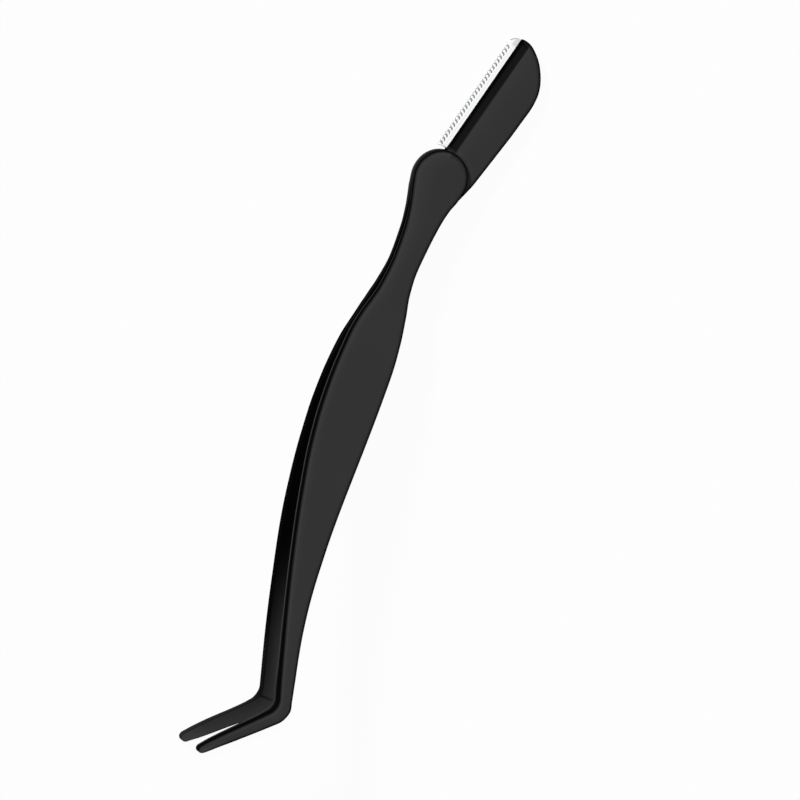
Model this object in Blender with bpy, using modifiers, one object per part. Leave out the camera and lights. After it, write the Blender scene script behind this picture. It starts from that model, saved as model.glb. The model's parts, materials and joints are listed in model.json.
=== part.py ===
# Angled tip tweezers with a folding razor in the head, as separate parts.
#
# The tool is drawn in its own frame, in millimetres: the razor's pivot is the origin, +Y runs
# along the tool towards the razor, +Z is the face that is seen, and the middle plane between
# the two moulded halves is z = 0. "Distance" below means the distance from the pivot towards
# the tips, which is -Y. At the end the whole tool is laid on its back on the plane z = 0.

import math

import bmesh
import bpy
import numpy as np
from mathutils import Matrix, Vector

MM = 0.001

# The two moulded halves. Each edge is (distance, x), from the head to the corner of the bend.
HEAD_RADIUS = 6.3
HEAD_LEFT_REACH = 6.2
LEFT_EDGE = (
    (0, -6.20), (3, -5.57), (6, -4.69), (9, -3.95), (13, -3.27), (20, -2.86), (26, -3.26),
    (33, -4.76), (40, -5.80), (47, -6.02), (55, -5.68), (64, -4.62), (76, -2.15), (90, 1.57),
    (104, 5.88), (121.1, 11.83),
)
RIGHT_EDGE = (
    (0, 6.30), (3, 5.86), (6, 4.92), (10, 4.14), (15, 3.72), (21, 3.50), (26, 4.00),
    (31, 5.18), (37, 6.36), (44, 7.15), (54, 7.54), (66, 7.69), (78, 7.92), (90, 8.68),
    (104, 10.63), (122.4, 15.42),
)
INNER_BEND_RADIUS = 3.4
OUTER_BEND_RADIUS = 4.2
TIP_CENTRE = (-0.51, -135.54)
TIP_RADIUS = 1.12
EDGE_FILLET = 0.45

# Heights over the middle plane, as (distance, height), for the outer and the inner face.
HEAD_HEIGHT = 1.65
SLOT_HEIGHT = 0.90
OUTER_FACE = (
    (-7, HEAD_HEIGHT), (1, HEAD_HEIGHT), (9, 1.86), (16, 1.98), (22, 2.12), (27, 2.32),
    (34, 2.66), (41, 3.16), (55, 4.02), (77, 5.65), (98, 6.86), (107, 7.34),
)
INNER_FACE = (
    (-7, SLOT_HEIGHT), (30, SLOT_HEIGHT), (40, 1.15), (55, 1.75), (77, 3.25), (98, 4.22),
    (110, 4.62), (122, 5.10), (137, 5.60),
)
REST_START = 114.0
REST_END = 124.5
BEND_HEIGHT = 7.85
BEND_DISTANCE = 117.4
TIP_HEIGHT = 7.75
TIP_DISTANCE = 137.0

# How far the right wall leans out from the outer face to the inner one, as (distance, lean).
RIGHT_WALL_LEAN = ((112, 0.0), (120, 0.60), (126, 0.58), (136.3, 0.0))

# The flex line, across which each arm is parted from its half's plate.
FLEX_DISTANCE = 40.0
FLEX_GAP = 0.3

# The pivot, the web that joins the two plates, and its locating pins.
PIN_RADIUS = 1.5
PIN_REACH = 1.25
SOCKET_RADIUS = 1.62
SOCKET_REACH = 1.35
HOLE_RADIUS = 1.58
ROUND_SIDES = 48
WEB_START = 14.0
WEB_END = 28.0
WEB_INSET = 0.15
WEB_CLEARANCE = 0.40
WEB_GAP = 0.15
LOCATING_PINS = ((3.05, 17.0), (2.45, 25.2))
LOCATING_RADIUS = 0.42
LOCATING_REACH = 1.30
LOCATING_CLEARANCE = 0.15
OVERLAP = 0.2

# The razor, in its own axes: +Y along the blade, +X towards the spine.
RAZOR_ANGLE = 12.175
FOLD_ANGLE = 183.0
HOLDER_HEIGHT = 0.75
HOLDER_REACH = 34.6
HOLDER_EDGE_X = -2.55
ROOT_RADIUS = 5.4
CAP_CENTRE = (-2.0, 22.3)
CAP_RADII = (10.63, 13.4)
SPINE_POINT = (7.46, 3.00)
TAIL_CORNER = (6.64, -1.30)
TAIL_RADIUS = 1.2
CROWN_RADIUS = 0.7
HOLDER_RIM = 0.20
BAND_WIDTH = 2.3
BAND_EDGE_HEIGHT = 0.54
BAND_START = 5.2
GROOVE_HEIGHT = 0.36
GROOVE_BOTTOM_X = -0.45
STEEL_START = 4.0
STEEL_END = 34.95
STEEL_CLEARANCE = 0.12
STEEL_CORNER = 1.6

# The blade and the folded steel guard over its edge.
BLADE_THICKNESS = 0.12
BLADE_BACK_X = -0.75
BLADE_GRIND_X = -3.55
BLADE_EDGE_X = -4.28
BLADE_TIP_THICKNESS = 0.02
GUARD_OUTER = 0.26
GUARD_INNER = 0.16
GUARD_BACK_X = -1.30
GUARD_FOLD_X = -4.44
SLOT_COUNT = 28
SLOT_PITCH = 0.97
SLOT_FIRST = 5.9
SLOT_WIDTH = 0.34
SLOT_LENGTH = 1.9
SLOT_HEIGHT_CUT = 1.2
SLOT_SLANT = 28.0
SLOT_INNER_X = -3.70

PLASTIC = ((0.033, 0.034, 0.034, 1), 0.45, 0.0)
STEEL = ((0.82, 0.83, 0.84, 1), 0.28, 1.0)


def clear_scene():
    for item in list(bpy.data.objects):
        bpy.data.objects.remove(item, do_unlink=True)


def make_collection(name):
    group = bpy.data.collections.new(name)
    bpy.context.scene.collection.children.link(group)
    return group


def make_material(name, look):
    colour, roughness, metallic = look
    material = bpy.data.materials.new(name)
    material.use_nodes = True
    shader = material.node_tree.nodes["Principled BSDF"]
    shader.inputs["Base Color"].default_value = colour
    shader.inputs["Roughness"].default_value = roughness
    shader.inputs["Metallic"].default_value = metallic
    material.diffuse_color = colour
    return material


def add_mesh(name, mesh, group, parent, look=None):
    item = bpy.data.objects.new(name, mesh)
    group.objects.link(item)
    item.parent = parent
    if look:
        mesh.materials.append(make_material(name, look))
    else:
        item.hide_render = True
        item.display_type = "WIRE"
    return item


def mesh_from(name, form):
    bmesh.ops.remove_doubles(form, verts=form.verts, dist=0.002 * MM)
    bmesh.ops.recalc_face_normals(form, faces=form.faces)
    if form.calc_volume(signed=True) < 0:
        bmesh.ops.reverse_faces(form, faces=form.faces)
    mesh = bpy.data.meshes.new(name)
    form.to_mesh(mesh)
    form.free()
    mesh.shade_smooth()
    mesh.set_sharp_from_angle(angle=math.radians(35))
    return mesh


def cylinder(name, radius, low, high, centre, group, parent, look=None, sides=ROUND_SIDES):
    form = bmesh.new()
    place = Matrix.Translation(Vector((centre[0], centre[1], (low + high) / 2)) * MM)
    bmesh.ops.create_cone(
        form, cap_ends=True, segments=sides, radius1=radius * MM, radius2=radius * MM,
        depth=(high - low) * MM, matrix=place,
    )
    return add_mesh(name, mesh_from(name, form), group, parent, look)


def flat_outline(name, points, low, high, group, parent, look=None, rim=0.0):
    # A closed outline drawn as a filled 2D curve, thickened, and turned into a welded mesh. The
    # rim is the radius that its edges are rounded to.
    curve = bpy.data.curves.new(name + "_outline", "CURVE")
    curve.dimensions = "2D"
    curve.fill_mode = "BOTH"
    curve.extrude = ((high - low) / 2 - rim) * MM
    curve.bevel_depth = rim * MM
    curve.bevel_resolution = 1
    curve.offset = -rim * MM
    line = curve.splines.new("POLY")
    line.points.add(len(points) - 1)
    for spot, (x, y) in zip(line.points, points):
        spot.co = (x * MM, y * MM, 0, 1)
    line.use_cyclic_u = True
    drawn = bpy.data.objects.new(name + "_outline", curve)
    bpy.context.scene.collection.objects.link(drawn)
    graph = bpy.context.evaluated_depsgraph_get()
    solid = bpy.data.meshes.new_from_object(drawn.evaluated_get(graph))
    bpy.data.objects.remove(drawn, do_unlink=True)
    form = bmesh.new()
    form.from_mesh(solid)
    bpy.data.meshes.remove(solid)
    bmesh.ops.translate(form, verts=form.verts, vec=(0, 0, (low + high) / 2 * MM))
    return add_mesh(name, mesh_from(name, form), group, parent, look)


def section_bar(name, section, start, end, group, parent, look=None):
    # An outline across the blade, as (x, height), carried along the blade from start to end.
    bar = flat_outline(name, section, -end, -start, group, parent, look)
    bar.rotation_euler = (math.radians(90), 0, 0)
    return bar


def boolean(item, other, operation):
    cut = item.modifiers.new(operation.lower() + "_" + other.name, "BOOLEAN")
    cut.solver = "EXACT"
    cut.operation = operation
    cut.object = other


def curve_value(points, at, start_slope=None, end_slope=None):
    # A smooth curve through the points: each slope is the harmonic mean of its neighbours',
    # so that the curve never swings past a point where it turns back.
    x, y = np.array(points, float).T
    chord = np.diff(y) / np.diff(x)
    slope = np.zeros_like(y)
    slope[0] = chord[0] if start_slope is None else start_slope
    slope[-1] = chord[-1] if end_slope is None else end_slope
    same_way = chord[:-1] * chord[1:] > 0
    middle = np.zeros(len(chord) - 1)
    pair = chord[:-1] + chord[1:]
    middle[same_way] = 2 * (chord[:-1] * chord[1:])[same_way] / pair[same_way]
    slope[1:-1] = middle
    at = np.clip(np.atleast_1d(at).astype(float), x[0], x[-1])
    i = np.clip(np.searchsorted(x, at, side="right") - 1, 0, len(x) - 2)
    step = x[i + 1] - x[i]
    t = (at - x[i]) / step
    return (
        (1 + 2 * t) * (1 - t) ** 2 * y[i] + t * (1 - t) ** 2 * step * slope[i]
        + t ** 2 * (3 - 2 * t) * y[i + 1] + t ** 2 * (t - 1) * step * slope[i + 1]
    )


REST_SLOPE = (BEND_HEIGHT - HOLDER_HEIGHT) / (BEND_DISTANCE + HOLDER_REACH)


def rest_height(distance):
    # The plane that the tool lies on, through the holder's far end and the bend's outer face.
    return HOLDER_HEIGHT + (distance + HOLDER_REACH) * REST_SLOPE


def outer_height(distance):
    distance = np.atleast_1d(distance).astype(float)
    grip = OUTER_FACE + ((REST_START, float(rest_height(REST_START))),)
    grip_height = curve_value(grip, distance, end_slope=REST_SLOPE)
    bend_height = rest_height(distance)
    fall = (distance - REST_END) / (TIP_DISTANCE - REST_END)
    tip_height = rest_height(REST_END) + fall * (TIP_HEIGHT - rest_height(REST_END))
    return np.where(distance < REST_START, grip_height, np.where(distance < REST_END, bend_height, tip_height))


def inner_height(distance):
    return curve_value(INNER_FACE, distance)


def edge_points(edge, distances):
    return np.column_stack((curve_value(edge, distances, start_slope=0.0), -np.asarray(distances, float)))


def arc_points(centre, radius, start, end, count):
    angles = np.linspace(start, end, count)
    return np.column_stack((centre[0] + radius * np.cos(angles), centre[1] + radius * np.sin(angles)))


def rounded_corner(before, corner, after, radius, count):
    # The arc that rounds off a corner between two straight runs.
    before, corner, after = (np.asarray(p, float) for p in (before, corner, after))
    a = (before - corner) / np.linalg.norm(before - corner)
    b = (after - corner) / np.linalg.norm(after - corner)
    half = math.acos(float(np.clip(a @ b, -1, 1))) / 2
    centre = corner + (a + b) / np.linalg.norm(a + b) * radius / math.sin(half)
    first = corner + a * radius / math.tan(half) - centre
    last = corner + b * radius / math.tan(half) - centre
    start = math.atan2(first[1], first[0])
    sweep = (math.atan2(last[1], last[0]) - start + math.pi) % (2 * math.pi) - math.pi
    return arc_points(centre, radius, start, start + sweep, count)


def tangent_angle(point, centre, radius, side):
    # Where a straight run from the point meets a circle, as an angle on that circle.
    away = np.asarray(point, float) - np.asarray(centre, float)
    return math.atan2(away[1], away[0]) + side * math.acos(radius / np.linalg.norm(away))


def plate_edges():
    # Matched points on both edges, from the head's top down to the flex line.
    turn = np.radians(np.linspace(0, 90, 14))[:-1]
    down = np.array([0, 1, 2, 3, 4, 5, 6, 7.5, 9, 11, 13, 15.5, 18, 20, 22, 24, 26, 28, 30, 32, 34, 36, 38])
    down = np.append(down, FLEX_DISTANCE - FLEX_GAP / 2)
    disc = HEAD_RADIUS * np.column_stack((np.sin(turn), np.cos(turn)))
    left = np.vstack((disc * (-HEAD_LEFT_REACH / HEAD_RADIUS, 1), edge_points(LEFT_EDGE, down)))
    right = np.vstack((disc, edge_points(RIGHT_EDGE, down)))
    return left, right


def arm_side(edge, bend_radius, side):
    # One edge of an arm: down the shaft, round the bend, along the tip and half round its end.
    corner = np.array((edge[-1][1], -edge[-1][0]))
    above = edge_points(edge, [edge[-2][0]])[0]
    angle = tangent_angle(corner, TIP_CENTRE, TIP_RADIUS, side)
    landing = arc_points(TIP_CENTRE, TIP_RADIUS, angle, angle, 1)[0]
    bend = rounded_corner(above, corner, landing, bend_radius, 9)
    grip = np.append(FLEX_DISTANCE + FLEX_GAP / 2, np.arange(42, 111, 3))
    shaft = np.append(grip, np.linspace(REST_START, -bend[0, 1], 4)[:-1])
    run = bend[-1] + np.outer(np.linspace(0, 1, 8)[1:-1], landing - bend[-1])
    middle = np.array((LEFT_EDGE[-1][1] + RIGHT_EDGE[-1][1], -LEFT_EDGE[-1][0] - RIGHT_EDGE[-1][0])) / 2
    along = np.array(TIP_CENTRE) - middle
    apex = math.atan2(along[1], along[0])
    sweep = (apex - angle + math.pi) % (2 * math.pi) - math.pi
    end = arc_points(TIP_CENTRE, TIP_RADIUS, angle, angle + sweep, 7)
    return np.vstack((edge_points(edge, shaft), bend, run, end))


def inward(points, turn):
    # Unit normals of an edge in the plane, towards the inside of the half.
    along = np.gradient(points, axis=0)
    along /= np.linalg.norm(along, axis=1)[:, None]
    return np.column_stack((-along[:, 1], along[:, 0])) * turn


def loft_half(name, left, right, side, closed_start, group, parent, look):
    # A loft whose sections have a flat inner face and two rounded outer edges. Its outline and
    # its thickness both change along it, its right wall leans out at the bend and the tip, and
    # its closed ends shrink to a point in plan.
    left_in = inward(left, 1)
    right_in = inward(right, -1)
    for i in ([0, -1] if closed_start else [-1]):
        if np.linalg.norm(left[i] - right[i]) < 0.01:
            mean = left_in[i] + right_in[i]
            left_in[i] = right_in[i] = mean / np.linalg.norm(mean)
    steps = np.radians(np.linspace(0, 90, 4))
    rings = []
    lean = curve_value(RIGHT_WALL_LEAN, -right[:, 1])
    for edge, normal, foot in ((left, left_in, left), (right, right_in, right - right_in * lean[:, None])):
        distance = -edge[:, 1]
        top = outer_height(distance)
        rows = [np.column_stack((foot, inner_height(distance)))]
        for angle in steps:
            inset = EDGE_FILLET * (1 - math.cos(angle))
            drop = EDGE_FILLET * (1 - math.sin(angle))
            rows.append(np.column_stack((edge + normal * inset, top - drop)))
        rings.append(rows)
    rows = rings[0] + rings[1][::-1]
    points = np.stack(rows, axis=1)
    points[:, :, 2] *= side
    form = bmesh.new()
    count = points.shape[1]
    grid = [[form.verts.new(Vector(p) * MM) for p in ring] for ring in points]
    for a, b in zip(grid, grid[1:]):
        for k in range(count):
            form.faces.new((a[k], a[(k + 1) % count], b[(k + 1) % count], b[k]))
    if not closed_start:
        form.faces.new(grid[0])
    if np.linalg.norm(left[-1] - right[-1]) > 0.01:
        form.faces.new(grid[-1])
    bmesh.ops.remove_doubles(form, verts=form.verts, dist=0.002 * MM)
    bmesh.ops.triangulate(form, faces=[f for f in form.faces if len(f.verts) == 4])
    return add_mesh(name, mesh_from(name, form), group, parent, look)


def folded_line(distance):
    # x of the guard's outer edge when the razor is folded into the slot.
    lean = math.radians(180 + RAZOR_ANGLE - FOLD_ANGLE)
    reach = GUARD_OUTER - GUARD_FOLD_X
    along = (distance - reach * math.sin(lean)) / math.cos(lean)
    return reach * math.cos(lean) - along * math.sin(lean)


def web_outline():
    # The wall down the right of the neck, clear of the folded guard on its inner side.
    distances = np.linspace(WEB_START, WEB_END, 8)
    outer = edge_points(RIGHT_EDGE, distances) - (WEB_INSET, 0)
    inner = [(folded_line(d) + WEB_CLEARANCE, -d) for d in (WEB_END, WEB_START)]
    return [tuple(p) for p in outer] + inner


def handle(group, cutters, frame):
    left, right = plate_edges()
    upper = loft_half("upper_head_plate", left, right, 1, True, group, frame, PLASTIC)
    lower = loft_half("lower_head_plate", left, right, -1, True, group, frame, PLASTIC)
    for plate, low, high in ((upper, 0, SOCKET_REACH), (lower, -SOCKET_REACH, 0)):
        socket = cylinder(plate.name + "_socket", SOCKET_RADIUS, low, high, (0, 0), cutters, frame)
        boolean(plate, socket, "DIFFERENCE")
    web = flat_outline(
        "web", web_outline(), -SLOT_HEIGHT - OVERLAP, SLOT_HEIGHT - WEB_GAP, cutters, frame,
    )
    boolean(lower, web, "UNION")
    for number, (x, distance) in enumerate(LOCATING_PINS, 1):
        spot = (x, -distance)
        start = SLOT_HEIGHT - WEB_GAP - OVERLAP
        peg = cylinder(f"locating_pin_{number}", LOCATING_RADIUS, start, LOCATING_REACH, spot, cutters, frame, sides=24)
        boolean(lower, peg, "UNION")
        hole = cylinder(
            f"locating_socket_{number}", LOCATING_RADIUS + LOCATING_CLEARANCE, 0,
            LOCATING_REACH + LOCATING_CLEARANCE, spot, cutters, frame, sides=24,
        )
        boolean(upper, hole, "DIFFERENCE")
    cylinder("pivot_pin", PIN_RADIUS, -PIN_REACH, PIN_REACH, (0, 0), group, frame, STEEL)


def arms(group, frame):
    left = arm_side(LEFT_EDGE, INNER_BEND_RADIUS, 1)
    right = arm_side(RIGHT_EDGE, OUTER_BEND_RADIUS, -1)
    loft_half("upper_arm", left, right, 1, False, group, frame, PLASTIC)
    loft_half("lower_arm", left, right, -1, False, group, frame, PLASTIC)


def holder_outline():
    # Up the blade side, over the cap, down the spine, round the tail and back round the root.
    blade_side = math.acos(HOLDER_EDGE_X / ROOT_RADIUS)
    foot = (HOLDER_EDGE_X, ROOT_RADIUS * math.sin(blade_side))
    cap_angles = np.linspace(math.radians(88), 0, 22)
    cap = np.column_stack((
        CAP_CENTRE[0] + CAP_RADII[0] * np.cos(cap_angles),
        CAP_CENTRE[1] + CAP_RADII[1] * np.sin(cap_angles),
    ))
    crown = rounded_corner(foot, (HOLDER_EDGE_X, CAP_CENTRE[1] + CAP_RADII[1]), cap[0], CROWN_RADIUS, 5)
    root_angle = tangent_angle(TAIL_CORNER, (0, 0), ROOT_RADIUS, -1)
    root_start = arc_points((0, 0), ROOT_RADIUS, root_angle, root_angle, 1)[0]
    tail = rounded_corner(SPINE_POINT, TAIL_CORNER, root_start, TAIL_RADIUS, 6)
    root = arc_points((0, 0), ROOT_RADIUS, root_angle, blade_side - 2 * math.pi, 30)
    return [tuple(p) for p in np.vstack((crown, cap, SPINE_POINT, tail, root))]


def band_cutter(name, side, cutters, parent):
    # The wedge that planes one face of the holder down towards the blade, in a wide flat band.
    slope = (HOLDER_HEIGHT - BAND_EDGE_HEIGHT) / BAND_WIDTH
    beyond = 1.0
    inner_x = HOLDER_EDGE_X + BAND_WIDTH + beyond / slope
    outer_x = HOLDER_EDGE_X - beyond
    top = HOLDER_HEIGHT + beyond
    low = BAND_EDGE_HEIGHT - beyond * slope
    section = [(outer_x, low * side), (inner_x, top * side), (outer_x, top * side)]
    return section_bar(name, section, BAND_START, STEEL_END + beyond, cutters, parent)


def steel_plan(cutters, parent):
    # The outline that trims the blade and the guard: square at the foot, rounded at the top.
    outer = GUARD_FOLD_X - GUARD_OUTER - 0.3
    edge = GUARD_FOLD_X - GUARD_OUTER
    corner = rounded_corner((edge, 0), (edge, STEEL_END), (0, STEEL_END), STEEL_CORNER, 7)
    points = [(outer, STEEL_START), (outer, float(corner[0, 1]) - 0.6)]
    points += [tuple(p) for p in corner] + [(1, STEEL_END), (1, STEEL_START)]
    return flat_outline("steel_plan", points, -1, 1, cutters, parent)


def blade(group, parent, plan):
    half = BLADE_THICKNESS / 2
    tip = BLADE_TIP_THICKNESS / 2
    section = [
        (BLADE_BACK_X, -half), (BLADE_GRIND_X, -half), (BLADE_EDGE_X, -tip),
        (BLADE_EDGE_X, tip), (BLADE_GRIND_X, half), (BLADE_BACK_X, half),
    ]
    item = section_bar("blade", section, STEEL_START - 1, STEEL_END + 1, group, parent, STEEL)
    boolean(item, plan, "INTERSECT")


def comb_guard(group, cutters, parent, plan):
    # A strip folded over the blade's edge, slotted through the fold at a slant.
    turns = np.radians(np.linspace(90, 270, 9))
    outer = [(GUARD_FOLD_X + GUARD_OUTER * math.cos(t), GUARD_OUTER * math.sin(t)) for t in turns]
    inner = [(GUARD_FOLD_X + GUARD_INNER * math.cos(t), GUARD_INNER * math.sin(t)) for t in turns[::-1]]
    section = [(GUARD_BACK_X, GUARD_OUTER)] + outer + [(GUARD_BACK_X, -GUARD_OUTER)]
    section += [(GUARD_BACK_X, -GUARD_INNER)] + inner + [(GUARD_BACK_X, GUARD_INNER)]
    item = section_bar("comb_guard", section, STEEL_START - 1, STEEL_END + 1, group, parent, STEEL)
    boolean(item, plan, "INTERSECT")
    boolean(item, comb_slots(cutters, parent), "DIFFERENCE")


def comb_slots(cutters, parent):
    # One slanted slot, repeated along the guard at an even pitch. It leans towards the pivot
    # as it goes in from the fold.
    form = bmesh.new()
    bmesh.ops.create_cube(form, size=MM, matrix=Matrix.Diagonal((SLOT_LENGTH, SLOT_WIDTH, SLOT_HEIGHT_CUT, 1)))
    bmesh.ops.translate(form, verts=form.verts, vec=(-SLOT_LENGTH / 2 * MM, 0, 0))
    slots = add_mesh("comb_slots", mesh_from("comb_slots", form), cutters, parent)
    slant = math.radians(SLOT_SLANT)
    slots.rotation_euler = (0, 0, -slant)
    inner_y = SLOT_FIRST - (SLOT_INNER_X - GUARD_FOLD_X) * math.tan(slant)
    slots.location = (SLOT_INNER_X * MM, inner_y * MM, 0)
    row = slots.modifiers.new("row_of_slots", "ARRAY")
    row.count = SLOT_COUNT
    row.use_relative_offset = False
    row.use_constant_offset = True
    row.constant_offset_displace = (-math.sin(slant) * SLOT_PITCH * MM, math.cos(slant) * SLOT_PITCH * MM, 0)
    row.use_merge_vertices = False
    return slots


def razor(group, cutters, frame):
    axis = bpy.data.objects.new("razor_axis", None)
    group.objects.link(axis)
    axis.parent = frame
    axis.rotation_euler = (0, 0, -math.radians(RAZOR_ANGLE))
    holder = flat_outline(
        "blade_holder", holder_outline(), -HOLDER_HEIGHT, HOLDER_HEIGHT, group, axis, PLASTIC, HOLDER_RIM,
    )
    for name, side in (("band_above", 1), ("band_below", -1)):
        boolean(holder, band_cutter(name, side, cutters, axis), "DIFFERENCE")
    groove_section = [
        (HOLDER_EDGE_X - 1, -GROOVE_HEIGHT), (GROOVE_BOTTOM_X, -GROOVE_HEIGHT),
        (GROOVE_BOTTOM_X, GROOVE_HEIGHT), (HOLDER_EDGE_X - 1, GROOVE_HEIGHT),
    ]
    groove = section_bar(
        "steel_groove", groove_section, STEEL_START - STEEL_CLEARANCE, STEEL_END + STEEL_CLEARANCE,
        cutters, axis,
    )
    boolean(holder, groove, "DIFFERENCE")
    hole = cylinder("pivot_hole", HOLE_RADIUS, -2, 2, (0, 0), cutters, axis)
    hole.rotation_euler = (0, 0, math.radians(RAZOR_ANGLE))
    boolean(holder, hole, "DIFFERENCE")
    plan = steel_plan(cutters, axis)
    blade(group, axis, plan)
    comb_guard(group, cutters, axis, plan)


def world_box(items):
    graph = bpy.context.evaluated_depsgraph_get()
    low = np.full(3, np.inf)
    high = -low
    for item in items:
        solid = item.evaluated_get(graph)
        mesh = solid.to_mesh()
        points = np.empty(len(mesh.vertices) * 3)
        mesh.vertices.foreach_get("co", points)
        points = points.reshape(-1, 3) @ np.array(solid.matrix_world.to_3x3()).T
        points += np.array(solid.matrix_world.translation)
        low = np.minimum(low, points.min(axis=0))
        high = np.maximum(high, points.max(axis=0))
        solid.to_mesh_clear()
    return low, high


def lay_down(frame, group):
    # Tilted on to its back, with the middle of its box over the origin and its base at z = 0.
    frame.rotation_euler = (-math.atan(REST_SLOPE), 0, 0)
    bpy.context.view_layer.update()
    low, high = world_box([item for item in group.objects if item.type == "MESH"])
    frame.location = (-(low[0] + high[0]) / 2, -(low[1] + high[1]) / 2, -low[2])
    bpy.context.view_layer.update()


def report_points(frame):
    # Joint places and directions in the laid down frame.
    flex_height = float(outer_height(FLEX_DISTANCE)[0] + inner_height(FLEX_DISTANCE)[0]) / 2
    flex_x = float(curve_value(LEFT_EDGE, FLEX_DISTANCE)[0] + curve_value(RIGHT_EDGE, FLEX_DISTANCE)[0]) / 2
    rest_distance = (REST_START + REST_END) / 2
    rest_x = float(curve_value(LEFT_EDGE, rest_distance)[0] + curve_value(RIGHT_EDGE, rest_distance)[0]) / 2
    places = {
        "pivot": (0, 0, 0),
        "upper flex": (flex_x, -FLEX_DISTANCE, flex_height),
        "lower flex": (flex_x, -FLEX_DISTANCE, -flex_height),
        "rest face": (rest_x, -rest_distance, -float(rest_height(rest_distance))),
    }
    for name, place in places.items():
        print(name, [round(v, 6) for v in frame.matrix_world @ (Vector(place) * MM)])
    turn = frame.matrix_world.to_3x3()
    print("pivot axis", [round(v, 6) for v in turn @ Vector((0, 0, 1))])


clear_scene()
tool = make_collection("angled_tip_tweezers")
shapes = make_collection("cutters")
tool_frame = bpy.data.objects.new("tool_frame", None)
tool.objects.link(tool_frame)
handle(tool, shapes, tool_frame)
arms(tool, tool_frame)
razor(tool, shapes, tool_frame)
lay_down(tool_frame, tool)
report_points(tool_frame)
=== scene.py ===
import json
import math
import bmesh
import bpy
import numpy as np
from mathutils import Matrix, Vector


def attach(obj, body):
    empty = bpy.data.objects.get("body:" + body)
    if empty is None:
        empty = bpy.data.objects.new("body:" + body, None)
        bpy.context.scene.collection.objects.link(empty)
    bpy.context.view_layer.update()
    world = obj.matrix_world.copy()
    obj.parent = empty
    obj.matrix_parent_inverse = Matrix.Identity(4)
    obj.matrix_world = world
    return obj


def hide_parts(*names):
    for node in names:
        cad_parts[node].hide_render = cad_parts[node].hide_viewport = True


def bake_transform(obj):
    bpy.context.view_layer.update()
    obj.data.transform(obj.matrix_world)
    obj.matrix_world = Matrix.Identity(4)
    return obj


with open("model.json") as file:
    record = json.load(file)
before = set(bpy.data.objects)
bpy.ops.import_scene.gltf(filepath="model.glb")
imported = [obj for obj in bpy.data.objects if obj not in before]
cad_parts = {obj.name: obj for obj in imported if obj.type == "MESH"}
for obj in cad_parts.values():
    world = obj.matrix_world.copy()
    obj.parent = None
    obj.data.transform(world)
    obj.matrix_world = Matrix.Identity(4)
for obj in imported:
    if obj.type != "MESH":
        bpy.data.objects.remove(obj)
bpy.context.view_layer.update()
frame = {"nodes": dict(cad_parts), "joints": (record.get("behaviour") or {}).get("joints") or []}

mm = 0.001
weldDistance = 0.0015 * mm
# The painted shade on a rim fades over this span of angles.
fadeSpan = (45, 95)  # where a tone fades round a rim, in degrees from the wall

# The tool's own frame: the razor's pivot is its origin, +y runs towards the razor and +z is the
# upper face. A distance along the tool runs from the pivot towards the tips, so it is -y.
foldJoint = next(joint for joint in frame["joints"] if joint["name"] == "razor_fold")
toolOrigin = np.array(foldJoint["pos_m"])
toolZ = np.array(foldJoint["axis"]) / np.linalg.norm(foldJoint["axis"])
toolX = np.array((1.0, 0.0, 0.0))
toolY = np.cross(toolZ, toolX)


def toWorld(points):  # millimetres in the tool's frame, to metres in the row's frame
    return toolOrigin + np.asarray(points, float) * mm @ np.stack((toolX, toolY, toolZ))


def smoothStep(x, low, high):  # 0 below low, 1 above high and an S curve between
    t = np.clip((x - low) / (high - low), 0, 1)
    return t * t * (3 - 2 * t)


def curveThrough(points, at, startSlope=None, endSlope=None):
    # A cubic between each two points. The slope at a point is the harmonic mean of the chords
    # beside it, or 0 where they turn back, so that the curve never swings past its points.
    x, y = np.array(points, float).T
    chord = np.diff(y) / np.diff(x)
    slope = np.zeros_like(y)
    slope[0] = chord[0] if startSlope is None else startSlope
    slope[-1] = chord[-1] if endSlope is None else endSlope
    product, total = chord[:-1] * chord[1:], chord[:-1] + chord[1:]
    slope[1:-1] = np.where(product > 0, 2 * product / np.where(product > 0, total, 1), 0)
    at = np.clip(np.atleast_1d(at).astype(float), x[0], x[-1])
    i = np.clip(np.searchsorted(x, at, side="right") - 1, 0, len(x) - 2)
    step = x[i + 1] - x[i]
    t = (at - x[i]) / step
    return ((1 + 2 * t) * (1 - t) ** 2 * y[i] + t * (1 - t) ** 2 * step * slope[i]
            + t ** 2 * (3 - 2 * t) * y[i + 1] + t ** 2 * (t - 1) * step * slope[i + 1])


def circlePoints(centre, radius, start, end, count):  # points on a circle between two angles
    turn = np.linspace(start, end, count)
    return np.column_stack((centre[0] + radius * np.cos(turn), centre[1] + radius * np.sin(turn)))


def cornerArc(before, corner, after, radius, count):  # the arc that rounds off a corner
    before, corner, after = (np.asarray(p, float) for p in (before, corner, after))
    a = (before - corner) / np.linalg.norm(before - corner)
    b = (after - corner) / np.linalg.norm(after - corner)
    half = math.acos(float(np.clip(a @ b, -1, 1))) / 2
    centre = corner + (a + b) / np.linalg.norm(a + b) * radius / math.sin(half)
    first = corner + a * radius / math.tan(half) - centre
    last = corner + b * radius / math.tan(half) - centre
    start = math.atan2(first[1], first[0])
    sweep = (math.atan2(last[1], last[0]) - start + math.pi) % (2 * math.pi) - math.pi
    return circlePoints(centre, radius, start, start + sweep, count)


def touchAngle(point, centre, radius, side):  # where a line from the point touches a circle
    away = np.asarray(point, float) - np.asarray(centre, float)
    return math.atan2(away[1], away[0]) + side * math.acos(radius / np.linalg.norm(away))


def evenly(points, count):  # the same path, at even steps of its own length
    gaps = np.linalg.norm(np.diff(points, axis=0), axis=1)
    points = points[np.append(True, gaps > 1e-6)]
    along = np.append(0, np.cumsum(np.linalg.norm(np.diff(points, axis=0), axis=1)))
    at = np.linspace(0, along[-1], count)
    return np.column_stack((np.interp(at, along, points[:, 0]), np.interp(at, along, points[:, 1])))


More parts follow.
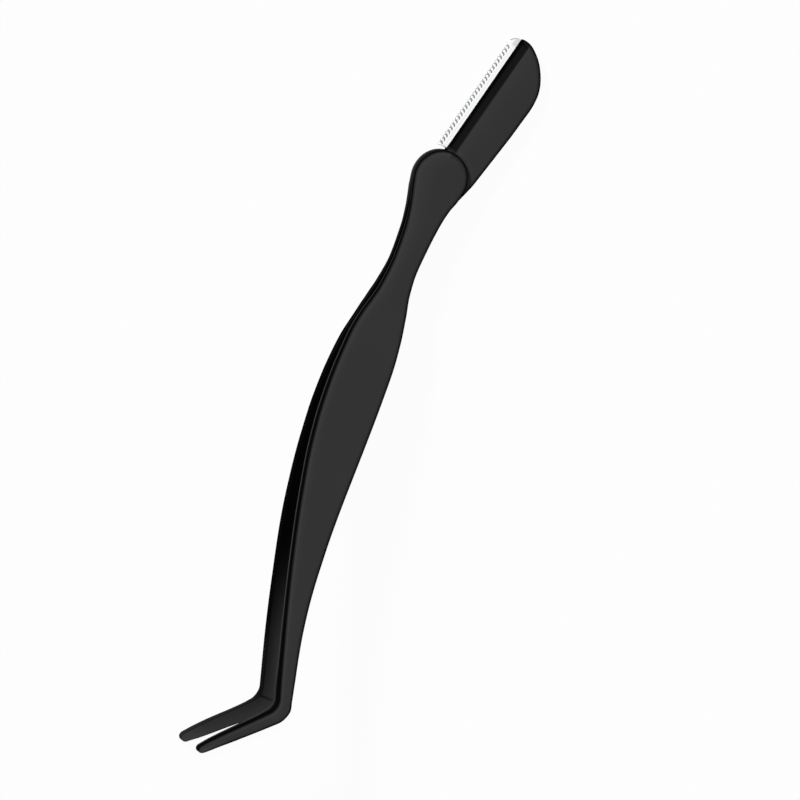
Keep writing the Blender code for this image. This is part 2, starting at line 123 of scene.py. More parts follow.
def inwardNormals(points, turn):  # unit normals of a plan edge, turned to its inside
    along = np.gradient(points, axis=0)
    along /= np.maximum(np.linalg.norm(along, axis=1), 1e-9)[:, None]
    return np.column_stack((-along[:, 1], along[:, 0])) * turn


def matchedNormals(left, right, turn):  # two edges' normals, made equal at their shared ends
    leftIn, rightIn = inwardNormals(left, turn), inwardNormals(right, -turn)
    for end in (0, -1):
        both = leftIn[end] + rightIn[end]
        leftIn[end] = rightIn[end] = both / np.linalg.norm(both)
    return leftIn, rightIn


def ringFaces(rows, columns):  # quads of a grid whose columns close into a ring
    i, j = np.arange(rows - 1)[:, None], np.arange(columns)[None, :]
    after = (j + 1) % columns
    quads = np.stack((i * columns + j, i * columns + after,
                      (i + 1) * columns + after, (i + 1) * columns + j), axis=-1)
    return quads.reshape(-1, 4)


def roundShade(turn, fade):  # the tone falls by the fade over the upper half of a rim's round
    return 1 - fade * float(smoothStep(math.degrees(turn), *fadeSpan))


def addObject(name, data):  # a new object in the scene
    made = bpy.data.objects.new(name, data)
    bpy.context.scene.collection.objects.link(made)
    return made


def makePiece(name, points, faces, body, tones=None, sharp=38):
    # A welded mesh from points in metres, with its faces outwards. The tones are one number for
    # each point, which the finishes read. Edges sharper than the angle in degrees stay sharp.
    mesh = bpy.data.meshes.new(name)
    mesh.from_pydata(np.asarray(points).tolist(), [], [[int(k) for k in face] for face in faces])
    for label, values in (tones or {}).items():
        layer = mesh.attributes.new(label, "FLOAT", "POINT")
        layer.data.foreach_set("value", np.asarray(values, np.float32).ravel())
    form = bmesh.new()
    form.from_mesh(mesh)
    bmesh.ops.remove_doubles(form, verts=form.verts, dist=weldDistance)
    bmesh.ops.recalc_face_normals(form, faces=form.faces)
    if form.calc_volume(signed=True) < 0:
        bmesh.ops.reverse_faces(form, faces=form.faces)
    form.to_mesh(mesh)
    form.free()
    mesh.shade_smooth()
    mesh.set_sharp_from_angle(angle=math.radians(sharp))
    piece = addObject(name, mesh)
    if body:
        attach(piece, body)
    return piece


class Socket:  # a shader socket whose sums and products add Math nodes
    def __init__(self, finish, socket):
        self.finish = finish
        self.socket = socket

    def math(self, operation, other=0.0):
        return self.finish.node("Math", {"operation": operation}, (self, other))

    def beside(self, label):  # another output of the same node
        return Socket(self.finish, self.socket.node.outputs[label])

    def __add__(self, other):
        return self.math("ADD", other)

    def __sub__(self, other):
        return self.math("SUBTRACT", other)

    def __mul__(self, other):
        return self.math("MULTIPLY", other)

    def __rsub__(self, other):
        return self.finish.node("Math", {"operation": "SUBTRACT"}, (other, self))

    __radd__ = __add__
    __rmul__ = __mul__


class Finish:  # the node tree of a material or a world, with one method that adds any node
    def __init__(self, owner):
        self.owner = owner
        owner.use_nodes = True
        self.tree = owner.node_tree
        self.tree.nodes.clear()

    def node(self, kind, settings=None, values=(), named=None, output=0):
        made = self.tree.nodes.new("ShaderNode" + kind)
        for label, value in (settings or {}).items():
            setattr(made, label, value)
        for key, value in [*enumerate(values), *(named or {}).items()]:
            if isinstance(value, Socket):
                self.tree.links.new(value.socket, made.inputs[key])
            elif value is not None:
                made.inputs[key].default_value = value
        outputs = made.outputs
        return Socket(self, outputs[output]) if len(outputs) else None

    def blendColour(self, factor, first, second):
        # A colour Mix node has its factor at input 0, its colours at 6 and 7 and its result at 2.
        named = {0: factor, 6: first, 7: second}
        return self.node("Mix", {"data_type": "RGBA"}, named=named, output=2)

    def place(self):
        return self.node("TexCoord", output="Object")

    def noise(self, scale, detail, at=None):
        named = {"Vector": at or self.place(), "Scale": scale, "Detail": detail}
        return self.node("TexNoise", {"noise_dimensions": "3D"}, named=named, output="Fac")

    def tone(self, label):
        settings = {"attribute_type": "GEOMETRY", "attribute_name": label}
        return self.node("Attribute", settings, output="Fac")

    def bump(self, strength, depth, height):  # the depth is in millimetres
        named = {"Strength": strength, "Distance": depth * mm, "Height": height}
        return self.node("Bump", named=named)

    def plainlySeen(self):  # 1 for rays from the camera, a glossy surface or a clear one
        ray = self.node("LightPath", output="Is Camera Ray")
        seen = ray.math("MAXIMUM", ray.beside("Is Glossy Ray"))
        return seen.math("MAXIMUM", ray.beside("Is Transmission Ray"))

    def done(self, shader, kind="OutputMaterial"):
        self.node(kind, named={"Surface": shader})
        return self.owner


def grey(level, green=1.0):  # a linear grey from an sRGB level of 0 to 255, with its green scaled
    value = level / 255
    linear = value / 12.92 if value <= 0.04045 else ((value + 0.055) / 1.055) ** 2.4
    return (linear, linear * green, linear, 1)


# Finishes

# The rim grey is the colour of the painted shade, and the highlight grey that of the painted light.
plastic = {
    "face": 53, "highlightGrey": 65, "faceGreen": 1.03, "rim": 7, "faceSpecular": 0.10, "rimSpecular": 0.0,
    "faceRoughness": 0.46, "rimRoughness": 0.38,
    "grainScale": 5200, "grainDetail": 2, "grainStrength": 0.5, "grainDepth": 0.006,
    "cloudScale": 60, "cloudDetail": 3, "cloudColour": 0.5, "cloudRoughness": 0.16,
}
# The steel's fold colour is the painted shade that a tone mixes in.
steel = {
    "colour": (0.95, 0.953, 0.957, 1), "fold": (0.38, 0.385, 0.39, 1), "roughness": 0.26,
    "lineScale": 9000, "lineDetail": 2, "lineStretch": 60, "lineStrength": 0.25,
    "lineDepth": 0.002, "lineRoughness": 0.12,
}
# The blade's dark grey is painted shade: it shows only inside the guard's slots.
slotShadeGrey = (0.32, 0.325, 0.33, 1)
bladeSteel = {**steel, "colour": slotShadeGrey, "fold": slotShadeGrey, "roughness": 0.24}


def blackMoulding(name):
    # Black plastic with a spark-eroded grain. A painted shade tone mixes in a blacker plastic
    # without gloss on its rims, walls and inner faces, and a painted light tone lightens its face
    # colour as painted highlights.
    finish = Finish(bpy.data.materials.new(name))
    rim = finish.tone("paintedShade").math("MINIMUM", 1.0)
    cloud = finish.noise(plastic["cloudScale"], plastic["cloudDetail"]) - 0.5
    grain = finish.noise(plastic["grainScale"], plastic["grainDetail"])
    face = grey(plastic["face"], plastic["faceGreen"])
    highlightGrey = grey(plastic["highlightGrey"], plastic["faceGreen"])
    colour = finish.blendColour(finish.tone("paintedLight") + cloud * plastic["cloudColour"], face, highlightGrey)
    roughness = cloud * plastic["cloudRoughness"] + plastic["faceRoughness"]
    bump = finish.bump(plastic["grainStrength"], plastic["grainDepth"], grain)
    faceShader = finish.node("BsdfPrincipled", named={
        "Base Color": colour, "Roughness": roughness, "Normal": bump,
        "Specular IOR Level": plastic["faceSpecular"],
    })
    rimShader = finish.node("BsdfPrincipled", named={
        "Base Color": grey(plastic["rim"]), "Roughness": plastic["rimRoughness"], "Normal": bump,
        "Specular IOR Level": plastic["rimSpecular"],
    })
    return finish.done(finish.node("MixShader", values=(rim, faceShader, rimShader)))


def rolledSteel(name, look, along):
    # Steel with faint rolling lines: noise stretched along one direction of the plan. A painted
    # shade tone darkens it towards the look's fold colour.
    finish = Finish(bpy.data.materials.new(name))
    turn = math.atan2(along[1], along[0])
    mapped = finish.node("Mapping", {"vector_type": "POINT"}, named={
        "Vector": finish.place(), "Rotation": (0, 0, -turn), "Scale": (1 / look["lineStretch"], 1, 1),
    })
    lines = finish.noise(look["lineScale"], look["lineDetail"], mapped)
    roughness = (lines - 0.5) * look["lineRoughness"] + look["roughness"]
    bump = finish.bump(look["lineStrength"], look["lineDepth"], lines)
    colour = finish.blendColour(finish.tone("paintedSteelShade"), look["colour"], look["fold"])
    shader = finish.node("BsdfPrincipled", named={
        "Base Color": colour, "Metallic": 1.0, "Roughness": roughness, "Normal": bump,
    })
    return finish.done(shader)


def dress(item, material):  # gives an object one material all over
    item.data.materials.clear()
    item.data.materials.append(material)
    return item


# The two moulded halves. Lengths are millimetres. In a list of pairs the first number is a
# distance along the tool, but in a margin it is a distance in from the rim, in wallShade a share of
# the wall's height and in the crease the x of a point in plan.

half = {
    "headTop": 6.46, "headLeft": 6.2, "headRight": 6.38,
    "leftEdge": (
        (0, -6.20), (3, -5.57), (6, -4.69), (9, -3.95), (13, -3.27), (20, -2.86), (26, -3.26),
        (33, -4.76), (40, -5.80), (47, -6.02), (55, -5.68), (64, -4.62), (76, -2.15), (90, 1.57),
        (104, 5.88), (121.1, 11.83)),
    "rightEdge": (
        (0, 6.38), (3, 5.91), (6, 4.91), (10, 4.20), (15, 3.78), (21, 3.53), (26, 4.00),
        (31, 5.18), (37, 6.36), (44, 7.15), (54, 7.54), (66, 7.69), (78, 7.92), (90, 8.68),
        (104, 10.63), (122.4, 15.42)),
    "innerBend": 3.4, "outerBend": 4.8, "tipCentre": (-0.51, -135.54), "tipRadius": 1.12,
    "outerFace": (
        (-7, 1.65), (1, 1.65), (9, 1.86), (16, 1.98), (22, 2.12), (27, 2.32), (34, 2.66), (41, 3.16),
        (55, 4.02), (77, 5.65), (98, 6.86), (107, 7.34)),
    "innerFace": (
        (-7, 0.90), (30, 0.90), (40, 1.15), (55, 1.75), (77, 3.25), (98, 4.22), (110, 4.62),
        (122, 5.10), (137, 5.60)),
    "restPoint": (117.4, 7.85), "holderEnd": (-34.6, 0.75), "restSpan": (114.0, 124.5),
    "tipHeight": (137.0, 7.75), "tipNear": (-2.0, 0.6), "tipAhead": -0.4,
    "fillet": 0.45, "innerFillet": 0.14, "flexSpan": (30, 52),
    "wallShade": ((0.28, 0.0), (0.42, 0.9), (0.7, 1.0)), "innerClear": (84, 110),
    "highlightReach": ((-7, 2.2), (10, 1.8), (22, 1.0), (40, 0.55), (100, 0.45), (137, 0.3)),
    "leftFade": 0.62, "leftMargin": ((0.08, 0.24), (0.18, 0.08), (0.28, 0.0)),
    "leftShare": ((0, 1.0), (137, 1.0)), "rightShare": ((108, 1.0), (120, 0.5), (137, 0.5)),
    "rightFade": 0.3, "rightMargin": ((0.10, 0.50), (0.25, 0.28), (0.45, 0.13), (0.80, 0.0)),
    "crease": ((11.16, -121.10), (15.00, -121.13)), "creaseWidth": 0.30, "creaseShade": 0.45,
    "innerLow": ((99, 0.15), (113, 0.27), (122, 0.55), (129, 0.80), (137, 0.95)),
    "mouthSpan": (0.0, 9.0), "mouthReach": 0.07, "endHighlight": 1.1, "endSpan": (130.5, 136.5),
    "rightShade": ((0, 1.0), (132, 1.0), (136.2, 0.25)),
    "rightLean": ((112, 0.0), (120, 0.60), (126, 0.58), (131, 0.52), (134.5, 0.38), (136.3, 0.0)),
    "topShares": (0.03, 0.07, 0.13, 0.21, 0.33, 0.5, 0.7, 0.85, 0.96),
    "innerShares": (0.97, 0.85, 0.7, 0.5, 0.3, 0.15, 0.03),
    "shaftStep": 0.7, "counts": {"disc": 46, "flat": 14, "bend": 36, "tip": 40, "end": 18},
}
# What differs between the halves: how far each edge is drawn in along the tool, how far the foot
# of the left wall stands out again, how deep the painted shade is on the walls' feet and the left
# wall, and how far the tip's end is pushed out, shifted to its right and narrowed.
upperLook = {
    "leftTrim": ((31, 0.0), (35, -0.13), (41, 0.0), (50, 0.08), (106, 0.13), (117, 0.0), (124, 0.05),
                 (131, 0.0), (134.5, 0.08), (136, 0.0)),
    "rightTrim": ((50, 0.0), (62, -0.06), (74, 0.0), (88, 0.0), (98, 0.05), (103, 0.0), (108, -0.07),
                  (113, -0.05), (117, 0.05), (119.5, 0.10), (120.8, 0.03), (122.6, 0.11), (125, 0.05),
                  (128, 0.0), (131, 0.0), (134.5, 0.06), (136, 0.0)),
    "leftLean": ((100, 0.0), (112, 0.22), (117.5, 0.48), (121, 0.42), (125, 0.06), (136, 0.0)),
    "foot": ((0, 0.62), (137, 0.62)), "leftShade": ((0, 1.0), (137, 1.0)),
    "tipPush": 0.05, "tipShift": 0.03, "tipNarrow": 0.12,
}
lowerLook = {
    "leftTrim": ((-5, 0.0), (0, 0.10), (4.5, -0.06), (9, 0.0), (14, 0.0), (20, 0.06), (28, -0.16),
                 (31, 0.02), (36, 0.14), (43, 0.0), (52, 0.0), (63, 0.12), (84, -0.12), (96, 0.0),
                 (120.6, 0.0), (124.2, 0.35), (131.5, 0.02), (134.5, 0.07), (136, 0.0)),
    "rightTrim": ((120, 0.0), (126.5, 0.02), (128.5, 0.06), (130.5, 0.09), (134.5, 0.08), (136, 0.0)),
    "leftLean": ((120.6, 0.0), (124.2, 0.35), (131.5, 0.0)),
    "foot": ((0, 0.5), (12, 0.8), (50, 1.0)),
    # Near the head the lower half's left wall has little painted shade, so it reads as lit.
    "leftShade": ((-7, 0.1), (3, 0.3), (12, 1.0), (103, 1.0), (112, 0.95), (120, 0.95), (124, 0.86),
                 (137, 0.8)),
    "tipPush": 0.22, "tipShift": 0.12, "tipNarrow": 0.0,
}
(restAt, restUp), (holderAt, holderUp) = half["restPoint"], half["holderEnd"]
restSlope = (restUp - holderUp) / (restAt - holderAt)


def restHeight(distance):  # the plane that the tool lies on, below the middle of the tool
    return holderUp + (distance - holderAt) * restSlope


def outerHeight(distance):
    # The grip's curve, then the flat that the tool lies on, then a line down to the tip.
    start, end = half["restSpan"]
    grip = curveThrough(half["outerFace"] + ((start, restHeight(start)),), distance, endSlope=restSlope)
    tipAt, tipHeight = half["tipHeight"]
    fall = (distance - end) / (tipAt - end)
    tip = restHeight(end) + fall * (tipHeight - restHeight(end))
    return np.where(distance < start, grip, np.where(distance < end, restHeight(distance), tip))


def edgePoints(edge, distance):  # points of a plan edge at some distances along the tool
    return np.column_stack((curveThrough(edge, distance, startSlope=0.0), -np.asarray(distance, float)))


def tipDirection():  # from the middle of the bend to the tip's end
    corners = np.array((half["leftEdge"][-1][::-1], half["rightEdge"][-1][::-1])) * (1, -1)
    along = np.array(half["tipCentre"]) - corners.mean(axis=0)
    return along / np.linalg.norm(along)


def shapedTip(edge, look):
    # The end's points move along the tip and to its right, and closer to its middle line.
    along = tipDirection()
    right = np.array((-along[1], along[0]))
    ahead = (edge - half["tipCentre"]) @ along
    aside = (edge - half["tipCentre"]) @ right
    near = smoothStep(ahead, *half["tipNear"]) * (edge[:, 1] < -half["restSpan"][1])
    sideways = near * (look["tipShift"] - look["tipNarrow"] * aside)
    forward = look["tipPush"] * smoothStep(ahead, half["tipAhead"], half["tipRadius"])
    return edge + sideways[:, None] * right + forward[:, None] * along


def halfEdge(edge, mirror, bendRadius, side):
    # One edge from the head's top to the tip's end, with as many points as the other edge has:
    # a quarter of the disc, the shaft, the arc of the bend, a straight line and the tip's arc.
    counts = half["counts"]
    turn = np.radians(np.linspace(0, 90, counts["disc"]))[:-1]
    reach = half["headRight"] if mirror > 0 else half["headLeft"]
    disc = np.column_stack((mirror * reach * np.sin(turn), half["headTop"] * np.cos(turn)))
    corner = np.array((edge[-1][1], -edge[-1][0]))
    angle = touchAngle(corner, half["tipCentre"], half["tipRadius"], side)
    landing = circlePoints(half["tipCentre"], half["tipRadius"], angle, angle, 1)[0]
    before = edgePoints(edge, [edge[-2][0]])[0]
    bend = cornerArc(before, corner, landing, bendRadius, counts["bend"])
    start = half["restSpan"][0]
    flat = np.linspace(start, -bend[0, 1], counts["flat"])[:-1]
    shaft = np.append(np.arange(0, start, half["shaftStep"]), flat)
    run = bend[-1] + np.outer(np.linspace(0, 1, counts["tip"])[1:-1], landing - bend[-1])
    along = tipDirection()
    sweep = (math.atan2(along[1], along[0]) - angle + math.pi) % (2 * math.pi) - math.pi
    end = circlePoints(half["tipCentre"], half["tipRadius"], angle, angle + sweep, counts["end"])
    return np.vstack((disc, edgePoints(edge, shaft), bend, run, end))


def sideRows(edge, normal, lean, top, bottom, footShade, fade, margin, share):
    # From the inner face up one side to the outer face: a small round, the wall, a large round,
    # and a narrow margin of the face. The painted shade tone runs from the foot's own up to 1 on the
    # wall. It falls by the fade over the round, and then to 0 over the margin, which has only a share
    # of its tone towards the tips.
    rows, tones = [], []
    small, large = half["innerFillet"], half["fillet"]
    foot = edge - normal * lean[:, None]
    for turn in np.radians(np.linspace(90, 0, 4)):
        inset, rise = small * (1 - math.cos(turn)), small * (1 - math.sin(turn))
        rows.append(np.column_stack((foot + normal * inset, bottom + rise)))
        tones.append(footShade)
    wallLow, wallHigh = bottom + small, top - large
    for part, dark in half["wallShade"]:
        spot = edge - normal * (lean * (1 - part))[:, None]
        rows.append(np.column_stack((spot, wallLow + (wallHigh - wallLow) * part)))
        tones.append(footShade + (1 - footShade) * dark)
    for turn in np.radians(np.linspace(0, 90, 9)):
        inset, drop = large * (1 - math.cos(turn)), large * (1 - math.sin(turn))
        rows.append(np.column_stack((edge + normal * inset, top - drop)))
        tones.append(np.full(len(edge), roundShade(turn, fade)))
    for inset, dark in margin:
        rows.append(np.column_stack((edge + normal * (large + inset), top)))
        tones.append(dark * share)
    return rows, tones


def innerShade(plan, across):
    # The inner face has painted shade, dark along the grip where the other half shades it. Towards
    # the tips it clears, more so on its right, and a soft painted crease shade crosses it at the bend.
    # A painted highlight lightens the mouth of the head's slot on the left.
    clear = smoothStep(-plan[:, 1], *half["innerClear"])
    (x0, y0), (x1, y1) = half["crease"]
    length = math.hypot(x1 - x0, y1 - y0)
    away = ((plan[:, 0] - x0) * (y1 - y0) - (plan[:, 1] - y0) * (x1 - x0)) / length
    crease = half["creaseShade"] * np.exp(-(away / half["creaseWidth"]) ** 2)
    low = curveThrough(half["innerLow"], -plan[:, 1])
    mouth = (1 - smoothStep(-plan[:, 1], *half["mouthSpan"])) * math.exp(-across / half["mouthReach"])
    return np.clip(1 - clear * (low + (1 - low) * across) - mouth + crease, 0, 1)


def mouldedHalf(name, side, node, armNode, look):
    # A loft along matched points of the two edges: up the left side, across the outer face, down
    # the right side and back across the inner face.
    left = halfEdge(half["leftEdge"], -1, half["innerBend"], 1)
    right = halfEdge(half["rightEdge"], 1, half["outerBend"], -1)
    leftIn, rightIn = matchedNormals(left, right, 1)
    left = shapedTip(left + leftIn * curveThrough(look["leftTrim"], -left[:, 1])[:, None], look)
    right = shapedTip(right + rightIn * curveThrough(look["rightTrim"], -right[:, 1])[:, None], look)
    sides = []
    for edge, normal, lean, key in ((left, leftIn, look["leftLean"], "left"),
                                    (right, rightIn, half["rightLean"], "right")):
        distance = -edge[:, 1]
        low = curveThrough(half["innerFace"], distance)
        footShade = curveThrough(look["foot"], distance)
        share = curveThrough(half[key + "Share"], distance)
        sides.append(sideRows(edge, normal, curveThrough(lean, distance), outerHeight(distance), low,
                              footShade, half[key + "Fade"], half[key + "Margin"], share))
    (leftRows, leftTones), (rightRows, rightTones) = sides
    # Painted light: the foot of the left wall is lit where its painted shade is least, a painted
    # highlight runs along the outer face's left edge, and the tip's end has a painted highlight.
    leftHighlight = [1 - np.clip(tone, 0, 1) for tone in leftTones]
    leftTones = [tone * curveThrough(look["leftShade"], -left[:, 1]) for tone in leftTones]
    rightTones = [tone * curveThrough(half["rightShade"], -right[:, 1]) for tone in rightTones]
    top = [leftRows[-1] + (rightRows[-1] - leftRows[-1]) * t for t in half["topShares"]]
    highlightReach = curveThrough(half["highlightReach"], -left[:, 1])
    topHighlight = [np.exp(-np.linalg.norm((row - leftRows[-1])[:, :2], axis=1) / highlightReach) for row in top]
    under = [leftRows[0] + (rightRows[0] - leftRows[0]) * t for t in half["innerShares"]]
    underTones = [innerShade(row, t) for row, t in zip(under, half["innerShares"])]
    blank = np.zeros(len(left))
    points = np.stack(leftRows + top + rightRows[::-1] + under, axis=1)
    tones = np.stack(leftTones + [blank] * len(top) + rightTones[::-1] + underTones, axis=1)
    highlights = np.stack(leftHighlight + topHighlight + [blank] * (len(rightRows) + len(under)), axis=1)
    points[:, :, 2] *= side
    highlights = np.maximum(highlights, half["endHighlight"] * smoothStep(-points[:, :, 1], *half["endSpan"]))
    piece = makePiece(name, toWorld(points.reshape(-1, 3)), ringFaces(*points.shape[:2]), None,
                      {"paintedShade": tones, "paintedLight": highlights})
    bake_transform(piece)
    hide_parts(node, armNode)
    return dress(piece, mouldingFinish)


web = {"span": (14.0, 28.0), "inset": 0.15, "clearance": 0.40, "bottom": -1.0, "top": 0.88,
       "rim": 0.08, "rimShare": 0.04}


def neckWeb():
    # The wall between the halves down the right of the neck: its plan carried straight up, with
    # a narrow rim. Its inner side runs along the folded razor's edge.
    lean = math.radians(180 + razor["angle"] - foldJoint["range_deg"][1])
    reach = guard["outer"] - guard["foldX"]
    distance = np.linspace(*web["span"], 30)
    folded = reach * math.cos(lean) - (distance - reach * math.sin(lean)) * math.tan(lean)
    outer = edgePoints(half["rightEdge"], distance) - (web["inset"], 0)
    inner = np.column_stack((folded + web["clearance"], -distance))[::-1]
    plan = np.vstack((outer, inner))
    middle = np.broadcast_to(plan.mean(axis=0), plan.shape)
    drawnIn = plan + (middle - plan) * web["rimShare"]
    rings = ((middle, web["bottom"]), (plan, web["bottom"]), (plan, web["top"] - web["rim"]),
             (drawnIn, web["top"]), (middle, web["top"]))
    points = np.stack([np.column_stack((ring, np.full(len(ring), height))) for ring, height in rings])
    # The whole web takes the full painted shade, since it stands in the shade between the halves.
    piece = makePiece("neckWeb", toWorld(points.reshape(-1, 3)), ringFaces(*points.shape[:2]), "handle",
                      {"paintedShade": np.ones(points.shape[:2])})
    return dress(piece, mouldingFinish)


# The folding razor. Its own axes are x across it towards the spine and y along the blade, from
# the pivot. A swell is a share of the cap's size at an angle in degrees.

razor = {
    "points": 300, "angle": 12.175, "height": 0.75, "edgeX": -2.55, "edgeSlack": 0.02,
    "rootRadius": 5.4, "capCentre": (-2.0, 22.3),
    "capRadii": (10.63, 13.4), "tailCorner": (6.74, -1.40), "tailRadius": 1.0,
    "spinePoint": (7.46, 3.00), "spineRadius": 14.0, "shoulder": (8.26, 16.5), "crownRadius": 0.7,
    "capSwell": ((0, -0.021), (14, 0.0), (26, 0.015), (50, -0.002), (66, 0.0), (82, 0.014),
                 (88, 0.008)),
    "capTop": 84, "crownTurn": 88, "edgeLean": 0.03, "leanSpan": (4.8, 6.5), "edgeTilt": 0.0027,
    "tiltStart": 6.0, "leanReach": 0.9, "straightSpan": (5.0, 6.5),
    "rim": 0.34, "edgeRim": 0.10, "rimFade": 0.12,
    "rimMargin": ((0.08, 0.76), (0.22, 0.44), (0.45, 0.17), (0.80, 0.0)),
    "bandWidth": 2.3, "bandDrop": 0.20, "bandSoft": 0.05, "bandStart": (5.8, 8.6),
    "bandShade": 0.84, "bandShadeStart": (5.9, 7.3), "bandInner": (-0.08, 0.12),
    "bandOuter": (0.6, 0.85),
    "glintSpot": (0.75, 7.15), "glintSize": (1.1, 0.6), "glowTone": 0.6, "glowFrom": -0.2,
    "glowReach": 2.4, "glowStart": (5.5, 8), "faceStart": 0.4,
    "haloTone": 0.45, "haloRadius": 7.45, "haloWidth": 0.3,
    "grooveHeight": 0.34, "grooveX": -0.45, "grooveSpan": (4.3, 35.5), "grooveReach": 0.7,
    "faceSpread": 1.3,
}


def razorToTool(points):  # turns the razor's axes into the tool's, in the open position
    turn = math.radians(-razor["angle"])
    x, y, z = np.moveaxis(np.asarray(points, float), -1, 0)
    across = x * math.cos(turn) - y * math.sin(turn)
    along = x * math.sin(turn) + y * math.cos(turn)
    return np.stack((across, along, z), axis=-1)


def razorPlaces(points):  # a grid in the razor's axes, as places in metres
    return toWorld(razorToTool(points.reshape(-1, 3)))


def sectionGrid(x, y, z):  # a section's x and z, repeated at each row of y
    return np.stack((np.broadcast_to(x, y.shape), y, np.broadcast_to(z, y.shape)), axis=-1)


def bandDepth(x):  # 0 at the inner edge of the planed band and 1 beside the blade
    return (razor["edgeX"] + razor["bandWidth"] - x) / razor["bandWidth"]


def holderTop(x, y):
    # A flat plate, planed down in a wide flat band beside the blade, which runs out at the head.
    # A short parabola rounds the band's inner edge.
    depth, soft = bandDepth(x), razor["bandSoft"]
    inner = np.where(depth > -soft, (depth + soft) ** 2 / (4 * soft), 0)
    fall = np.clip(np.where(depth > soft, depth, inner), 0, 1) * smoothStep(y, *razor["bandStart"])
    return razor["height"] - razor["bandDrop"] * fall


# The band carries painted shade, which stands in for the shade and the dark reflection of its planed
# face.
def bandShade(x, y):  # how dark the band is: it darkens at its inner edge, and again near the blade
    inner = razor["bandShade"] * smoothStep(bandDepth(x), *razor["bandInner"])
    outer = (1 - razor["bandShade"]) * smoothStep(bandDepth(x), *razor["bandOuter"])
    return (inner + outer) * smoothStep(y, *razor["bandShadeStart"])


def holderHighlights(x, y):
    # Painted highlights: the face is a little lighter beside the band and round the head, and most
    # where they meet, and a painted highlight ring runs round the pivot just outside the disc.
    across = (x - razor["glintSpot"][0]) / razor["glintSize"][0]
    along = (y - razor["glintSpot"][1]) / razor["glintSize"][1]
    glint = np.exp(-across ** 2 - along ** 2)
    glow = razor["glowTone"] * np.exp(-np.maximum(x - razor["glowFrom"], 0) / razor["glowReach"])
    glow = glow * (x > razor["edgeX"] + razor["faceStart"]) * smoothStep(y, *razor["glowStart"])
    offHalo = (np.hypot(x, y) - razor["haloRadius"]) / razor["haloWidth"]
    return np.maximum(glint, np.maximum(glow, razor["haloTone"] * np.exp(-offHalo ** 2)))


def capPoints(start, end, count):  # the holder's end between two angles: an ellipse with a swell
    turn = np.linspace(start, end, count)
    swell = 1 + curveThrough(razor["capSwell"], turn)[:, None]
    ellipse = np.column_stack((np.cos(np.radians(turn)), np.sin(np.radians(turn)))) * razor["capRadii"]
    return np.array(razor["capCentre"]) + ellipse * swell


def holderEdges():
    # Two matched edges from the bottom of the round root to the top of the cap. The left one
    # leans out a little along the blade.
    radius, edgeX = razor["rootRadius"], razor["edgeX"]
    footAngle = math.acos(edgeX / radius)
    foot = (edgeX, radius * math.sin(footAngle))
    corner = (edgeX, razor["capCentre"][1] + razor["capRadii"][1])
    crownEnd = capPoints(razor["crownTurn"], razor["crownTurn"], 1)[0]
    crown = cornerArc(foot, corner, crownEnd, razor["crownRadius"], 24)
    root = circlePoints((0, 0), radius, math.radians(270), footAngle, 90)
    left = np.vstack((root, crown, capPoints(razor["crownTurn"], razor["capTop"], 8)))
    lean = razor["edgeLean"] * smoothStep(left[:, 1], *razor["leanSpan"])
    lean += razor["edgeTilt"] * np.maximum(left[:, 1] - razor["tiltStart"], 0)
    left[:, 0] -= lean * (1 - smoothStep(left[:, 0], edgeX, edgeX + razor["leanReach"]))
    touch = touchAngle(razor["tailCorner"], (0, 0), radius, -1)
    touchPoint = circlePoints((0, 0), radius, touch, touch, 1)[0]
    tail = cornerArc(touchPoint, razor["tailCorner"], razor["spinePoint"], razor["tailRadius"], 30)
    spine = cornerArc(tail[-1], razor["spinePoint"], razor["shoulder"], razor["spineRadius"], 8)
    right = np.vstack((circlePoints((0, 0), radius, math.radians(-90), touch, 30), tail, spine,
                       [razor["shoulder"]], capPoints(0, razor["capTop"], 160)))
    return evenly(left, razor["points"]), evenly(right, razor["points"])


def holderRim(edge, normal, rim):
    # From the wall over a quarter round to the face, and a margin of the face beside it. The round
    # and the margin carry painted shade, as does the band.
    rows, tones = [], []
    inset = edge + normal * rim[:, None]
    top = holderTop(inset[:, 0], inset[:, 1])
    for turn in np.radians(np.linspace(0, 90, 8)):
        spot = edge + normal * (rim * (1 - math.cos(turn)))[:, None]
        rows.append(np.column_stack((spot, top - rim * (1 - math.sin(turn)))))
        tones.append(np.maximum(roundShade(turn, razor["rimFade"]), bandShade(inset[:, 0], inset[:, 1])))
    for further, dark in razor["rimMargin"]:
        spot = edge + normal * (rim + further)[:, None]
        rows.append(np.column_stack((spot, holderTop(spot[:, 0], spot[:, 1]))))
        tones.append(np.maximum(dark, bandShade(spot[:, 0], spot[:, 1])))
    return rows, tones


